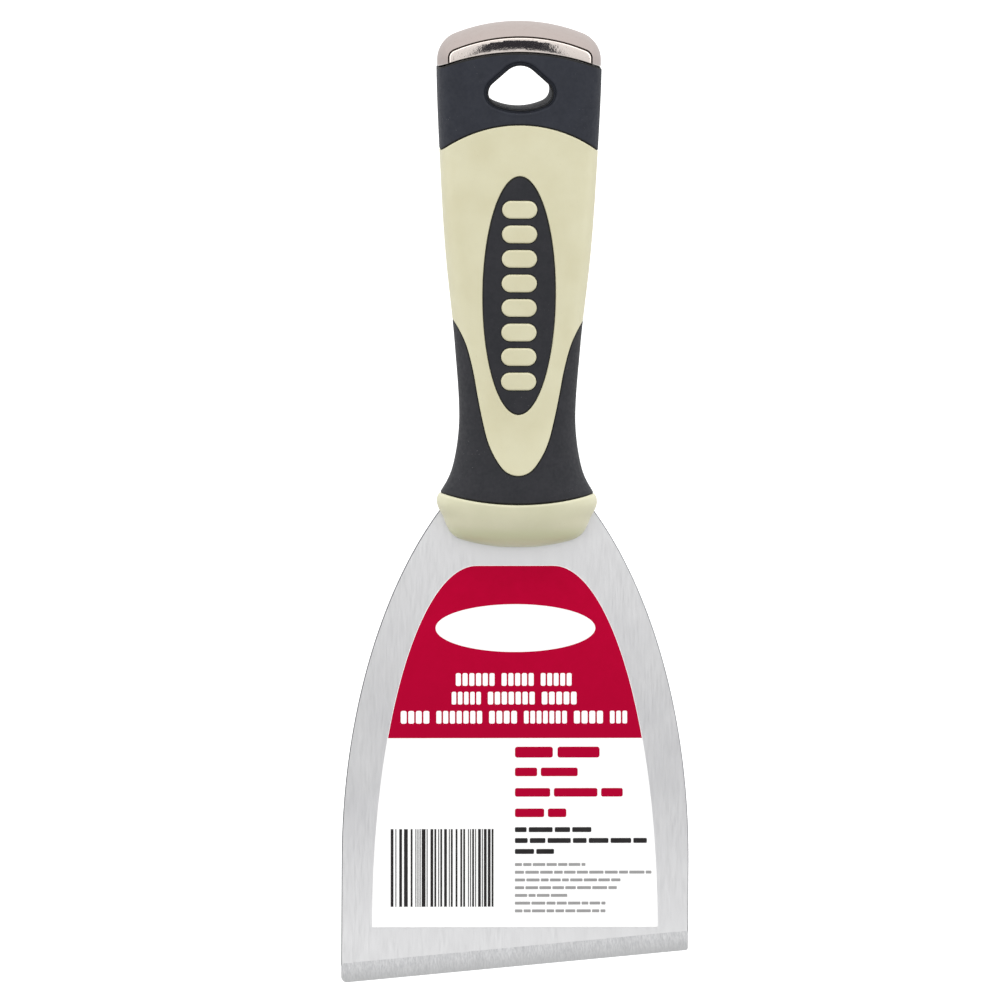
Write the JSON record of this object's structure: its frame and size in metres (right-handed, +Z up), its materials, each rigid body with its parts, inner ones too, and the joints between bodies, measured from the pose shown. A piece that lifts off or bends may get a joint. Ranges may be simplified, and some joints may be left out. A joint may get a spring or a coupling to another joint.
{
  "type": "stiff hand scraper",
  "caption": "Stiff hand scraper: wide flared steel blade with a skewed bevelled edge, two-shot moulded handle with hang hole, domed metal hammer end and a printed sticker on the blade.",
  "frame": {"origin": "the top of the hang hole, on the middle plane of the blade, where a peg bears", "axes": "+Z up along the handle towards the metal end, +X to the right seen from the front, -Y towards the front face with the sticker and the bevel"},
  "size_m": [0.0762, 0.0232, 0.2117],
  "materials": {
    "steel": "satin ground",
    "cream_plastic": "satin",
    "soft_black": "matte",
    "plated_metal": "polished with a satin dome",
    "printed_paper": "coated"
  },
  "bodies": {
    "root": {"blade": "steel", "handle_core": "cream_plastic", "lower_grip": "soft_black", "end_collar": "soft_black", "inlay_front": "soft_black", "inlay_back": "soft_black", "hammer_cap": "plated_metal", "blade_label": "printed_paper"}
  },
  "joints": []
}
